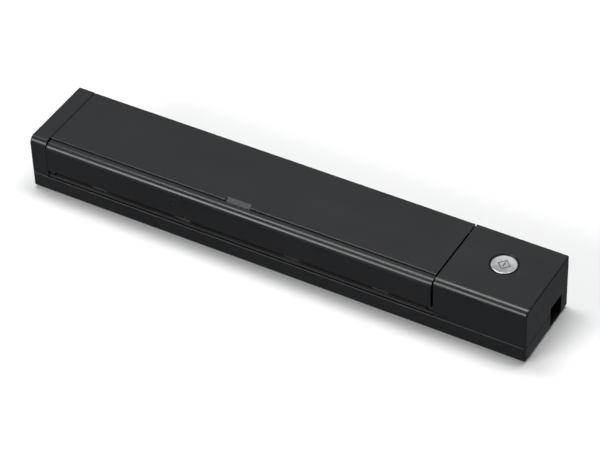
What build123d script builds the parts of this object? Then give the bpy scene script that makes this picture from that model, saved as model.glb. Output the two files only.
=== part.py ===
from build123d import *
from math import acos, atan2, cos, hypot, pi, radians, sin, sqrt, tan
import os

os.makedirs("parts", exist_ok=True)

# ---------------------------------------------------------------- driving dimensions, in millimetres
width = 312.5
depth = 51.6
foot_height = 1.5
body_height = 34.85
wall = 1.6
top_wall = 1.7
shadow_gap = 0.35
base_height = 9.5
slot_height = 6.1
front_radius = 4.3
edge_radius = 0.9
line_radius = 0.45

cap_right = -145.5
tray_left = -145.0
tray_right = 100.25
front_left = -144.6
front_right = 100.25
cover_left = 101.3
tray_front = -20.2
lip_back = -20.55

# the front unit stands a little proud of the casing and a little lower than the tray
front_proud = 0.9
front_drop = 0.95
nose_radius = 4.0
nose_turn = 60.0
cheek_radius = 7.0

# ---------------------------------------------------------------- places worked out from them
half_width = width / 2
half_depth = depth / 2
floor_bottom = foot_height
floor_top = floor_bottom + wall
base_top = floor_bottom + base_height
cover_bottom = base_top + shadow_gap
slot_top = base_top + slot_height
top = foot_height + body_height
sheet_centre = (tray_left + tray_right) / 2
front_face = -half_depth - front_proud
front_top = top - front_drop
roller_offsets = (-90.0, -35.0, 35.0, 90.0)

# paper path: a straight run rising from the exit slot, then a bend up to the inlet
exit_angle = radians(20)
exit_z = 13.8
bend_radius = 20.0
bend_start = 22.1
path_gap = 1.2
path_exit = (-half_depth, exit_z)


def on_path(along, above):
    """The point (y, z) this far up the straight run and this far above it."""
    return (
        path_exit[0] + along * cos(exit_angle) - above * sin(exit_angle),
        path_exit[1] + along * sin(exit_angle) + above * cos(exit_angle),
    )


bend_centre = on_path(bend_start, bend_radius)


def on_bend(angle, above):
    """The point (y, z) on the bend where the path slopes at this angle in degrees."""
    reach = bend_radius - above
    return (
        bend_centre[0] + reach * sin(radians(angle)),
        bend_centre[1] - reach * cos(radians(angle)),
    )


# rollers, which stand a hair apart where the sheet passes between them
nip = 0.15
feed_radius = 6.0
retard_radius = 3.8
eject_radius = 3.75
pinch_radius = 2.3
feed_slope = 28.0
eject_along = 5.4
feed_axis = on_bend(feed_slope, -feed_radius - nip)
retard_axis = on_bend(feed_slope, retard_radius + nip)
eject_axis = on_path(eject_along, -eject_radius - nip)
pinch_axis = on_path(eject_along, pinch_radius + nip)
shaft_radius = 1.5
eject_shaft_radius = 1.25
axle_radius = 1.0
running_fit = 0.05
roller_length = 10.0

# image sensors, one each side of the path
sensor_from = 9.5
sensor_to = 17.1
glass_thickness = 0.6
sensor_thickness = 4.8
sensor_half = 111.0

# swinging parts
front_axis = (-22.6, 13.6)
front_pin_radius = 0.9
front_ear_radius = 1.6
tray_axis = (21.5, 31.9)
tray_pin_radius = 1.5
tray_barrel_radius = 6.0
tray_knuckle_radius = 3.0
barrel_front = 19.8
tray_bottom = 31.2
liner_thickness = 1.0
rack_bottom = 33.4
rack_thickness = 1.0

# steel plates that carry the shafts
left_plate_x = -148.3
right_plate_x = 104.0
plate = 1.0
bracket_x = 111.6
gear_face_x = 106.2
gear_width = 2.2
second_face_x = 108.8
second_width = 2.0

# flat cable from the lower sensor to the main board
ribbon = 0.3
ribbon_z = 7.6
ribbon_start = 80.0
ribbon_end = 119.0
ribbon_y = (-14.0, -8.6)

# start button and port
button_centre = (128.4, 3.95)
button_radius = 7.3
button_gap = 0.45
button_rim = 8.5
port_front = 4.4
port_back = 18.0
port_top = 15.4
port_depth = 6.5
port_wall = 1.2
port_floor = 0.8


# ---------------------------------------------------------------- helpers
def block(x_span, y_span, z_span, mode=Mode.ADD):
    """A plain block between the given limits."""
    spans = (x_span, y_span, z_span)
    middle = [(low + high) / 2 for low, high in spans]
    size = [high - low for low, high in spans]
    with Locations(tuple(middle)):
        Box(*size, mode=mode)


def bar(points, x_span, mode=Mode.ADD):
    """A straight bar along X with this outline in the YZ plane."""
    with BuildSketch(Plane.YZ.offset(x_span[0])) as outline:
        with BuildLine():
            Polyline(*points, close=True)
        make_face()
    extrude(outline.sketch, amount=x_span[1] - x_span[0], mode=mode)


def rod(axis, radius, x_span, mode=Mode.ADD):
    """A round rod along X about the axis (y, z)."""
    with BuildSketch(Plane.YZ.offset(x_span[0])) as outline:
        with Locations(axis):
            Circle(radius)
    extrude(outline.sketch, amount=x_span[1] - x_span[0], mode=mode)


def post(centre, radius, z_span, mode=Mode.ADD):
    """A round post along Z about the centre (x, y)."""
    with BuildSketch(Plane.XY.offset(z_span[0])) as outline:
        with Locations(centre):
            Circle(radius)
    extrude(outline.sketch, amount=z_span[1] - z_span[0], mode=mode)


def save(piece, name):
    """Name the piece and write it to its own file."""
    piece.label = name
    export_step(piece, f"parts/{name}.step")


def case_outline(inset, bottom):
    """The end view of the casing: square at the back, rounded over at the top of the front."""
    front = -half_depth + inset
    back = half_depth - inset
    upper = top - inset
    with BuildLine() as outline:
        Line((front, bottom), (front, top - front_radius))
        CenterArc((-half_depth + front_radius, top - front_radius), front_radius - inset, 90, 90)
        Line((-half_depth + front_radius, upper), (back, upper))
        Line((back, upper), (back, bottom))
        Line((back, bottom), (front, bottom))
    make_face(outline.edges())


# ---------------------------------------------------------------- gear teeth
gear_module = 0.5
pressure_angle = radians(25)
addendum = 0.9 * gear_module
dedendum = 1.25 * gear_module
backlash = 0.11
flank_steps = 5


def involute(angle):
    return tan(angle) - angle


def gear_outline(teeth, phase):
    """Points of a spur gear about the origin, with a tooth centred at the phase angle."""
    pitch = teeth * gear_module / 2
    base = pitch * cos(pressure_angle)
    root = pitch - dedendum
    tip = pitch + addendum
    half_tooth = (pi * gear_module / 2 - backlash) / (2 * pitch) + involute(pressure_angle)
    start = max(base, root)
    radii = [start + (tip - start) * step / flank_steps for step in range(flank_steps + 1)]
    flank = [(radius, half_tooth - involute(acos(min(1, base / radius)))) for radius in radii]
    if root < base:
        flank.insert(0, (root, half_tooth))
    outline = [(radius, -angle) for radius, angle in flank]
    outline += [(radius, angle) for radius, angle in reversed(flank)]
    points = []
    for tooth in range(teeth):
        middle = phase + 2 * pi * tooth / teeth
        points += [(r * cos(middle + a), r * sin(middle + a)) for r, a in outline]
    return points


def meshed_phase(teeth, phase, other_teeth, direction):
    """The phase of a second gear that lies in this direction from the first and meshes with it."""
    return direction + pi - (pi - teeth * (direction - phase)) / other_teeth


def direction_to(start, end):
    return atan2(end[1] - start[1], end[0] - start[0])


def third_point(first, second, from_first, from_second, side):
    """The point at these distances from two others, on the left (+1) or right (-1) of the line."""
    gap = hypot(second[0] - first[0], second[1] - first[1])
    along = (from_first**2 - from_second**2 + gap**2) / (2 * gap)
    across = side * sqrt(from_first**2 - along**2)
    unit = ((second[0] - first[0]) / gap, (second[1] - first[1]) / gap)
    return (
        first[0] + along * unit[0] - across * unit[1],
        first[1] + along * unit[1] + across * unit[0],
    )


def gear(axis, teeth, phase, x_span):
    """A spur gear along X about the axis (y, z)."""
    with BuildSketch(Plane((x_span[0], *axis), x_dir=(0, 1, 0), z_dir=(1, 0, 0))) as outline:
        with BuildLine():
            Polyline(*gear_outline(teeth, phase), close=True)
        make_face()
    extrude(outline.sketch, amount=x_span[1] - x_span[0])


def centre_distance(teeth, other_teeth):
    return gear_module * (teeth + other_teeth) / 2


feed_teeth = 24
eject_teeth = 16
transfer_teeth = 24
reduction_small_teeth = 12
reduction_large_teeth = 28
motor_teeth = 12
motor_axis = (13.5, 17.0)
reduction_axis = third_point(
    feed_axis,
    motor_axis,
    centre_distance(reduction_small_teeth, feed_teeth),
    centre_distance(reduction_large_teeth, motor_teeth),
    1,
)
transfer_axis = third_point(
    feed_axis,
    eject_axis,
    centre_distance(transfer_teeth, feed_teeth),
    centre_distance(transfer_teeth, eject_teeth),
    -1,
)
feed_phase = 0.0
reduction_small_phase = meshed_phase(
    feed_teeth, feed_phase, reduction_small_teeth, direction_to(feed_axis, reduction_axis)
)
reduction_large_phase = 0.0
motor_phase = meshed_phase(
    reduction_large_teeth, reduction_large_phase, motor_teeth, direction_to(reduction_axis, motor_axis)
)
transfer_phase = meshed_phase(
    feed_teeth, feed_phase, transfer_teeth, direction_to(feed_axis, transfer_axis)
)
eject_phase = meshed_phase(
    transfer_teeth, transfer_phase, eject_teeth, direction_to(transfer_axis, eject_axis)
)
first_gears = (gear_face_x, gear_face_x + gear_width)
second_gears = (second_face_x, second_face_x + second_width)

# ---------------------------------------------------------------- screw places (x, y)
end_screws = [(-152.0, -19.0), (-152.0, 19.0)]
cover_screws = [(147.5, -20.3), (119.0, -20.3), (151.2, 21.2)]
rear_screws = [(-95.0, 20.6), (50.0, 20.6)]
all_screws = end_screws + cover_screws + rear_screws
boss_radius = 2.6
screw_radius = 1.1
screw_head_radius = 2.1
screw_seat = floor_bottom + 2.4
foot_centres = [(x, y) for x in (-143.0, 143.0) for y in (-16.0, 12.0)]
foot_radius = 5.0
foot_recess = 0.5

# ---------------------------------------------------------------- lower case
with BuildPart() as base_case:
    block(
        (-half_width, half_width),
        (-half_depth, half_depth),
        (floor_bottom, base_top),
    )
    fillet(base_case.edges().filter_by(Axis.Z), edge_radius)
    fillet(base_case.faces().sort_by(Axis.Z)[0].edges(), 0.7)
    fillet(base_case.faces().sort_by(Axis.Z)[-1].edges(), line_radius)
    block(
        (-half_width + wall, half_width - wall),
        (-half_depth + wall, half_depth - wall),
        (floor_top, base_top),
        mode=Mode.SUBTRACT,
    )
    # the stepped rim behind the lip of the exit slot
    block(
        (cap_right, cover_left),
        (-half_depth + wall, -half_depth + wall + 0.8),
        (floor_top, base_top - 0.6),
    )
    # stiffening ribs under the paper guide
    for rib_x in (-106.0, -78.0, -50.0, 6.0, 34.0, 62.0):
        block((rib_x - 0.6, rib_x + 0.6), (-half_depth + wall, half_depth - wall), (floor_top, 6.4))
    # round the port, the side wall steps in to leave a recess with a thin floor
    block(
        (half_width - port_depth - port_wall, half_width - 0.2),
        (port_front - port_wall, port_back + port_wall),
        (floor_bottom + 0.7, base_top - 0.5),
    )
    block(
        (half_width - port_depth, half_width + 1),
        (port_front, port_back),
        (floor_bottom + port_floor, base_top + 1),
        mode=Mode.SUBTRACT,
    )
    block(
        (half_width - port_depth - port_wall - 1, half_width - port_depth + 1),
        (7.1, 15.3),
        (6.4, 9.8),
        mode=Mode.SUBTRACT,
    )
    # screw bosses, feet seats
    for place in all_screws:
        post(place, boss_radius, (floor_top, base_top - 0.3))
        post(place, screw_radius + 0.15, (floor_bottom, base_top), mode=Mode.SUBTRACT)
        post(place, screw_head_radius + 0.2, (floor_bottom, screw_seat), mode=Mode.SUBTRACT)
    for place in foot_centres:
        post(place, foot_radius + 0.1, (floor_bottom, floor_bottom + foot_recess), mode=Mode.SUBTRACT)
    # vents in the floor below the drive
    for vent in range(6):
        vent_x = 112.0 + 4.0 * vent
        block((vent_x, vent_x + 1.6), (-12.0, 4.0), (floor_bottom, floor_top), mode=Mode.SUBTRACT)
save(base_case.part, "base_case")

with BuildPart() as rubber_feet:
    for place in foot_centres:
        post(place, foot_radius, (0, floor_bottom + foot_recess))
    fillet(rubber_feet.edges().group_by(Axis.Z)[0], 0.4)
save(rubber_feet.part, "rubber_feet")

with BuildPart() as case_screws:
    for place in all_screws:
        post(place, screw_radius, (screw_seat - 1.3, base_top + 6.0))
        post(place, screw_head_radius, (screw_seat - 1.3, screw_seat))
        # cross recess in the head
        for arm in (0.35, 1.2):
            block(
                (place[0] - arm, place[0] + arm),
                (place[1] - 1.55 + arm, place[1] + 1.55 - arm),
                (screw_seat - 1.4, screw_seat - 0.6),
                mode=Mode.SUBTRACT,
            )
save(case_screws.part, "case_screws")

# ---------------------------------------------------------------- end cap on the left
cap_wall = 1.5
with BuildPart() as left_end_cap:
    with BuildSketch(Plane.YZ.offset(-half_width)):
        case_outline(0, cover_bottom)
    extrude(amount=cap_right + half_width)
    outer_face = left_end_cap.faces().sort_by(Axis.X)[0]
    fillet(outer_face.edges().filter_by(lambda e: e.center().Z > cover_bottom + 0.1), edge_radius)
    with BuildSketch(Plane.YZ.offset(-half_width + wall)):
        case_outline(top_wall, cover_bottom - 1)
    extrude(amount=cap_right - cap_wall + half_width - wall, mode=Mode.SUBTRACT)
    for place in end_screws:
        post(place, boss_radius, (cover_bottom, top - top_wall))
        post(place, screw_radius + 0.02, (cover_bottom, base_top + 6.2), mode=Mode.SUBTRACT)
    for axis, radius in ((tray_axis, tray_pin_radius), (front_axis, front_pin_radius)):
        rod(axis, radius + 0.02, (cap_right - cap_wall, cap_right), mode=Mode.SUBTRACT)
    for axis in (feed_axis, eject_axis):
        rod(axis, shaft_radius + 0.6, (cap_right - cap_wall, cap_right), mode=Mode.SUBTRACT)
save(left_end_cap.part, "left_end_cap")

# ---------------------------------------------------------------- cover over drive and electronics
switch_slot = (141.0, 148.2)
switch_low = 27.2
switch_high = 30.8
with BuildPart() as right_cover:
    with BuildSketch(Plane.YZ.offset(cover_left)):
        case_outline(0, cover_bottom)
    extrude(amount=half_width - cover_left)
    outer_face = right_cover.faces().sort_by(Axis.X)[-1]
    fillet(outer_face.edges().filter_by(lambda e: e.center().Z > cover_bottom + 0.1), edge_radius)
    with BuildSketch(Plane.YZ.offset(cover_left + cap_wall)):
        case_outline(top_wall, cover_bottom - 1)
    extrude(amount=half_width - wall - cover_left - cap_wall, mode=Mode.SUBTRACT)
    # port recess
    block(
        (half_width - port_depth - port_wall, half_width - wall / 2),
        (port_front - port_wall, port_back + port_wall),
        (cover_bottom, port_top + port_wall),
    )
    with BuildSketch(Plane.YZ.offset(half_width - port_depth)):
        with Locations(((port_front + port_back) / 2, port_top - 5)):
            Rectangle(port_back - port_front, 10)
    extrude(amount=port_depth + 1, mode=Mode.SUBTRACT)
    for place in cover_screws:
        post(place, boss_radius, (cover_bottom, top - top_wall))
        post(place, screw_radius + 0.02, (cover_bottom, base_top + 6.2), mode=Mode.SUBTRACT)
    for axis, radius in ((tray_axis, tray_pin_radius), (front_axis, front_pin_radius)):
        rod(axis, radius + 0.02, (cover_left, cover_left + cap_wall), mode=Mode.SUBTRACT)
    for axis in (feed_axis, eject_axis):
        rod(axis, shaft_radius + 0.6, (cover_left, cover_left + cap_wall), mode=Mode.SUBTRACT)
    # button hole with its wide chamfer
    post(button_centre, button_radius + button_gap, (top - top_wall, top), mode=Mode.SUBTRACT)
    hole_edge = right_cover.edges().filter_by(GeomType.CIRCLE).group_by(Axis.Z)[-1]
    chamfer(hole_edge, button_rim - button_radius - button_gap)
    # slot for the auto-start slider in the back wall
    block(
        switch_slot,
        (half_depth - wall - 1, half_depth + 1),
        (switch_low, switch_high),
        mode=Mode.SUBTRACT,
    )
    # posts for the button board
    for post_x in (-8.0, 8.0):
        post(
            (button_centre[0] + post_x, button_centre[1] - 10.5),
            1.6,
            (28.4, top - top_wall),
        )
save(right_cover.part, "right_cover")

# ---------------------------------------------------------------- cover along the back
shelf_top = 25.2
shelf_front = 17.4
with BuildPart() as rear_cover:
    bar(
        [
            (half_depth, cover_bottom),
            (half_depth, shelf_top + 1.7),
            (half_depth - wall, shelf_top),
            (shelf_front, shelf_top),
            (shelf_front, shelf_top - 1.4),
            (half_depth - wall, shelf_top - 1.4),
            (half_depth - wall, cover_bottom),
        ],
        (cap_right, cover_left),
    )
    lower_edge = rear_cover.edges().filter_by(Axis.X).group_by(Axis.Y)[-1].sort_by(Axis.Z)[0]
    fillet(lower_edge, line_radius)
    for place in rear_screws:
        post(place, boss_radius, (cover_bottom, shelf_top - 1.0))
        post(place, screw_radius + 0.02, (cover_bottom - 1, base_top + 6.2), mode=Mode.SUBTRACT)
save(rear_cover.part, "rear_cover")

# ---------------------------------------------------------------- steel plates, bushes and bracket
bush_radius = 2.6
bush_flange = 3.4
bush_flange_thickness = 0.8
plate_low = floor_top
plate_high = 29.5
with BuildPart() as left_side_plate:
    block((left_plate_x, left_plate_x + plate), (-22.5, 6.0), (plate_low, plate_high))
    corner_edges = left_side_plate.edges().filter_by(Axis.X).group_by(Axis.Z)[-1]
    fillet(corner_edges, 5.0)
    for axis in (feed_axis, eject_axis):
        rod(axis, bush_radius + 0.01, (left_plate_x - 1, left_plate_x + 2), mode=Mode.SUBTRACT)
save(left_side_plate.part, "left_side_plate")

with BuildPart() as right_side_plate:
    block((right_plate_x, right_plate_x + plate), (-23.0, 22.0), (plate_low, plate_high))
    corner_edges = right_side_plate.edges().filter_by(Axis.X).group_by(Axis.Z)[-1]
    fillet(corner_edges, 5.0)
    for axis in (feed_axis, eject_axis):
        rod(axis, bush_radius + 0.01, (right_plate_x - 1, right_plate_x + 2), mode=Mode.SUBTRACT)
    for axis in (reduction_axis, transfer_axis):
        rod(axis, axle_radius + 0.01, (right_plate_x - 1, right_plate_x + 2), mode=Mode.SUBTRACT)
    # slot for the sensor ribbon
    block(
        (right_plate_x - 1, right_plate_x + 2),
        (ribbon_y[0] - 0.5, ribbon_y[1] + 0.5),
        (ribbon_z - 0.7, ribbon_z + ribbon + 0.7),
        mode=Mode.SUBTRACT,
    )
save(right_side_plate.part, "right_side_plate")


def shaft_bushes(axis, bore):
    """A flanged bush in each side plate, with its flange on the outside."""
    for plate_x, flange_x in (
        (left_plate_x, left_plate_x - bush_flange_thickness),
        (right_plate_x, right_plate_x + plate),
    ):
        rod(axis, bush_radius, (plate_x, plate_x + plate))
        rod(axis, bush_flange, (flange_x, flange_x + bush_flange_thickness))
        rod(axis, bore + running_fit, (plate_x - 3, plate_x + 4), mode=Mode.SUBTRACT)


with BuildPart() as feed_bushes:
    shaft_bushes(feed_axis, shaft_radius)
save(feed_bushes.part, "feed_bushes")

with BuildPart() as eject_bushes:
    shaft_bushes(eject_axis, eject_shaft_radius)
save(eject_bushes.part, "eject_bushes")

bracket_posts = [(-4.5, 26.5), (20.0, 26.0), (20.0, 6.2)]
with BuildPart() as motor_bracket:
    block((bracket_x, bracket_x + plate), (-7.5, 23.0), (3.9, plate_high))
    fillet(motor_bracket.edges().filter_by(Axis.X), 2.5)
    rod(motor_axis, 3.8, (bracket_x - 1, bracket_x + 2), mode=Mode.SUBTRACT)
    rod(reduction_axis, axle_radius + 0.01, (bracket_x - 1, bracket_x + 2), mode=Mode.SUBTRACT)
    for side in (-1, 1):
        hole = (motor_axis[0], motor_axis[1] + side * 6.0)
        rod(hole, 0.85, (bracket_x - 1, bracket_x + 2), mode=Mode.SUBTRACT)
save(motor_bracket.part, "motor_bracket")

with BuildPart() as bracket_spacers:
    for place in bracket_posts:
        rod(place, 1.8, (right_plate_x + plate, bracket_x))
save(bracket_spacers.part, "bracket_spacers")

with BuildPart() as gear_studs:
    rod(reduction_axis, axle_radius, (right_plate_x - 0.2, bracket_x + plate + 0.2))
    rod(transfer_axis, axle_radius, (right_plate_x - 0.2, second_face_x + 0.8))
save(gear_studs.part, "gear_studs")

# ---------------------------------------------------------------- motor and gear train
motor_radius = 8.0
motor_length = 23.0
with BuildPart() as motor_body:
    rod(motor_axis, motor_radius, (bracket_x + plate, bracket_x + plate + motor_length))
    fillet(motor_body.edges().filter_by(GeomType.CIRCLE), 0.6)
    rod(motor_axis, 3.0, (bracket_x + plate + motor_length, bracket_x + plate + motor_length + 1.4))
    rod(motor_axis, 3.0, (bracket_x - 0.2, bracket_x + plate))
    rod(motor_axis, 0.8, (bracket_x - 1, bracket_x + 4), mode=Mode.SUBTRACT)
    for side in (-1, 1):
        hole = (motor_axis[0], motor_axis[1] + side * 6.0)
        rod(hole, 0.82, (bracket_x, bracket_x + 3.4), mode=Mode.SUBTRACT)
save(motor_body.part, "motor_body")

with BuildPart() as motor_screws:
    for side in (-1, 1):
        hole = (motor_axis[0], motor_axis[1] + side * 6.0)
        rod(hole, 0.8, (bracket_x - 0.6, bracket_x + 3.2))
        rod(hole, 1.5, (bracket_x - 0.6, bracket_x))
save(motor_screws.part, "motor_screws")

with BuildPart() as motor_pinion:
    gear(motor_axis, motor_teeth, motor_phase, second_gears)
    rod(motor_axis, 0.75, (second_gears[0], bracket_x + 3.6))
save(motor_pinion.part, "motor_pinion")

with BuildPart() as reduction_gear:
    gear(reduction_axis, reduction_small_teeth, reduction_small_phase, (first_gears[0], second_gears[0]))
    gear(reduction_axis, reduction_large_teeth, reduction_large_phase, second_gears)
    rod(reduction_axis, axle_radius + running_fit, (right_plate_x, bracket_x), mode=Mode.SUBTRACT)
save(reduction_gear.part, "reduction_gear")

with BuildPart() as transfer_gear:
    gear(transfer_axis, transfer_teeth, transfer_phase, first_gears)
    rod(transfer_axis, axle_radius + running_fit, (right_plate_x, bracket_x), mode=Mode.SUBTRACT)
save(transfer_gear.part, "transfer_gear")

with BuildPart() as feed_gear:
    gear(feed_axis, feed_teeth, feed_phase, first_gears)
    rod(feed_axis, shaft_radius, (right_plate_x, bracket_x), mode=Mode.SUBTRACT)
save(feed_gear.part, "feed_gear")

with BuildPart() as eject_gear:
    gear(eject_axis, eject_teeth, eject_phase, first_gears)
    rod(eject_axis, eject_shaft_radius, (right_plate_x, bracket_x), mode=Mode.SUBTRACT)
save(eject_gear.part, "eject_gear")

# ---------------------------------------------------------------- rollers
tyre_places = [sheet_centre - 10.0, sheet_centre + 10.0]
feed_tyre_length = 9.0
with BuildPart() as feed_shaft:
    rod(feed_axis, shaft_radius, (left_plate_x - 0.9, first_gears[1]))
save(feed_shaft.part, "feed_shaft")

with BuildPart() as feed_tyres:
    for middle in tyre_places:
        span = (middle - feed_tyre_length / 2, middle + feed_tyre_length / 2)
        rod(feed_axis, feed_radius, span)
        rod(feed_axis, shaft_radius, span, mode=Mode.SUBTRACT)
save(feed_tyres.part, "feed_tyres")

with BuildPart() as eject_shaft:
    rod(eject_axis, eject_shaft_radius, (left_plate_x - 0.9, first_gears[1]))
save(eject_shaft.part, "eject_shaft")


def small_rollers(axis, radius, bore):
    """Four short rollers spread along a shaft."""
    for offset_x in roller_offsets:
        middle = sheet_centre + offset_x
        span = (middle - roller_length / 2, middle + roller_length / 2)
        rod(axis, radius, span)
        rod(axis, bore, span, mode=Mode.SUBTRACT)


with BuildPart() as eject_tyres:
    small_rollers(eject_axis, eject_radius, eject_shaft_radius)
save(eject_tyres.part, "eject_tyres")

pinch_axle_radius = 0.75
pinch_half = 97.0
with BuildPart() as pinch_axle:
    rod(pinch_axis, pinch_axle_radius, (sheet_centre - pinch_half, sheet_centre + pinch_half))
save(pinch_axle.part, "pinch_axle")

with BuildPart() as pinch_rollers:
    small_rollers(pinch_axis, pinch_radius, pinch_axle_radius)
save(pinch_rollers.part, "pinch_rollers")

retard_half = 9.5
with BuildPart() as retard_tyre:
    rod(retard_axis, retard_radius, (sheet_centre - retard_half, sheet_centre + retard_half))
    rod(retard_axis, axle_radius, (sheet_centre - 20, sheet_centre + 20), mode=Mode.SUBTRACT)
save(retard_tyre.part, "retard_tyre")

with BuildPart() as retard_axle:
    rod(retard_axis, axle_radius, (sheet_centre - 15, sheet_centre + 15))
save(retard_axle.part, "retard_axle")

# ---------------------------------------------------------------- fixed guides of the paper path
guide_thickness = 1.4
hopper_slope = 40.0
hopper_floor = 27.0
mouth_floor = 10.4
lip_front = -24.8
lip_lift = 0.35
lip_bottom = base_top + lip_lift
lip_wall = 0.3
lip_thickness = 1.1
riser_thickness = 1.0
guide_front = -half_depth + wall + 0.9
lip_top = path_exit[1] + (lip_front + half_depth) * tan(exit_angle) - path_gap / cos(exit_angle)
ramp_back_z = lip_top + (guide_front + riser_thickness - lip_front) * tan(exit_angle) - lip_thickness
bend_low = on_bend(20, -path_gap)
bend_mid = on_bend(30, -path_gap)
bend_end = on_bend(hopper_slope, -path_gap)
hopper_front = (
    bend_end[0] + (hopper_floor - bend_end[1]) / tan(radians(hopper_slope)),
    hopper_floor,
)
ear_room = 3.6
ear_reach = 4.6
end_gap = 0.8
pin_play = 0.1


def roller_windows(axis, radius, centres, length):
    """Clearance in a guide round each roller of a row."""
    for middle in centres:
        rod(axis, radius + 0.35, (middle - length / 2 - 0.5, middle + length / 2 + 0.5), mode=Mode.SUBTRACT)


row_centres = [sheet_centre + offset_x for offset_x in roller_offsets]
with BuildPart() as lower_guide:
    with BuildSketch(Plane.YZ.offset(cap_right)):
        with BuildLine():
            Polyline(
                (guide_front, mouth_floor),
                (guide_front, lip_bottom),
                (lip_front, lip_bottom),
                (lip_front, lip_top),
                bend_low,
            )
            ThreePointArc(bend_low, bend_mid, bend_end)
            Polyline(
                bend_end,
                hopper_front,
                (shelf_front, hopper_floor),
                (shelf_front, hopper_floor - guide_thickness),
                (hopper_front[0] + 0.5, hopper_floor - guide_thickness),
                on_bend(hopper_slope, -path_gap - guide_thickness),
            )
            ThreePointArc(
                on_bend(hopper_slope, -path_gap - guide_thickness),
                on_bend(30, -path_gap - guide_thickness),
                on_bend(20, -path_gap - guide_thickness),
            )
            Polyline(
                on_bend(20, -path_gap - guide_thickness),
                (guide_front + riser_thickness, ramp_back_z),
                (guide_front + riser_thickness, mouth_floor),
                (guide_front, mouth_floor),
            )
        make_face()
    extrude(amount=cover_left - cap_right)
    # room for the ears of the front unit at both ends
    left_ear = (cap_right + end_gap, front_left + ear_room)
    right_ear = (front_right - ear_room, cover_left - end_gap)
    for span in (left_ear, right_ear):
        block(
            span,
            (lip_front + lip_wall, front_axis[0] + ear_reach),
            (lip_bottom + lip_wall, 20),
            mode=Mode.SUBTRACT,
        )
        block(
            (span[0] - 2, span[1] + 2),
            (guide_front - 0.1, front_axis[0] + ear_reach),
            (mouth_floor - 3, lip_bottom + lip_wall),
            mode=Mode.SUBTRACT,
        )
    rod(front_axis, front_pin_radius + pin_play, (cap_right, cover_left), mode=Mode.SUBTRACT)
    roller_windows(feed_axis, feed_radius, tyre_places, feed_tyre_length)
    roller_windows(eject_axis, eject_radius, row_centres, roller_length)
    # window for the glass of the lower sensor
    bar(
        [
            on_path(sensor_from, 1),
            on_path(sensor_to, 1),
            on_path(sensor_to, -path_gap - 3),
            on_path(sensor_from, -path_gap - 3),
        ],
        (sheet_centre - sensor_half, sheet_centre + sensor_half),
        mode=Mode.SUBTRACT,
    )
save(lower_guide.part, "lower_guide")

with BuildPart() as inlet_guide:
    with BuildSketch(Plane.YZ.offset(cap_right)):
        with BuildLine():
            Polyline(on_path(20.4, path_gap), on_bend(20, path_gap))
            ThreePointArc(on_bend(20, path_gap), on_bend(32, path_gap), on_bend(45, path_gap))
            Polyline(
                on_bend(45, path_gap),
                (1.0, 28.3),
                (-1.5, 29.8),
                (-7.4, 29.8),
                (-8.4, 27.0),
                on_path(20.4, path_gap),
            )
        make_face()
    extrude(amount=cover_left - cap_right)
    pocket = (sheet_centre - retard_half - 0.6, sheet_centre + retard_half + 0.6)
    rod(retard_axis, retard_radius + 0.5, pocket, mode=Mode.SUBTRACT)
    rod(
        retard_axis,
        axle_radius + running_fit,
        (sheet_centre - 15.3, sheet_centre + 15.3),
        mode=Mode.SUBTRACT,
    )
save(inlet_guide.part, "inlet_guide")


# ---------------------------------------------------------------- image sensors
def sensor_bar(near, far, half_length):
    """A bar that lies square to the path between two distances from it."""
    corners = [
        on_path(sensor_from + 0.2, near),
        on_path(sensor_to - 0.2, near),
        on_path(sensor_to - 0.2, far),
        on_path(sensor_from + 0.2, far),
    ]
    bar(corners, (sheet_centre - half_length, sheet_centre + half_length))


glass_half = sensor_half - 0.3
with BuildPart() as lower_sensor:
    sensor_bar(-path_gap - glass_thickness, -path_gap - glass_thickness - sensor_thickness, glass_half)
save(lower_sensor.part, "lower_sensor")

with BuildPart() as lower_sensor_glass:
    sensor_bar(-path_gap, -path_gap - glass_thickness, glass_half)
save(lower_sensor_glass.part, "lower_sensor_glass")

with BuildPart() as upper_sensor:
    sensor_bar(path_gap + glass_thickness, path_gap + glass_thickness + sensor_thickness, glass_half)
save(upper_sensor.part, "upper_sensor")

with BuildPart() as upper_sensor_glass:
    sensor_bar(path_gap, path_gap + glass_thickness, glass_half)
save(upper_sensor_glass.part, "upper_sensor_glass")

# a stand under each end of the lower sensor, and one in the middle
with BuildPart() as sensor_stands:
    for stand_x in (-100.0, 0.0, 100.0):
        middle = sheet_centre + stand_x
        bar(
            [
                on_path(sensor_from + 0.8, -path_gap - glass_thickness - sensor_thickness),
                on_path(sensor_to - 0.8, -path_gap - glass_thickness - sensor_thickness),
                (on_path(sensor_to - 0.8, 0)[0] + 2.0, floor_top),
                (on_path(sensor_from + 0.8, 0)[0] + 2.0, floor_top),
            ],
            (middle - 2.0, middle + 2.0),
        )
save(sensor_stands.part, "sensor_stands")

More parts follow.
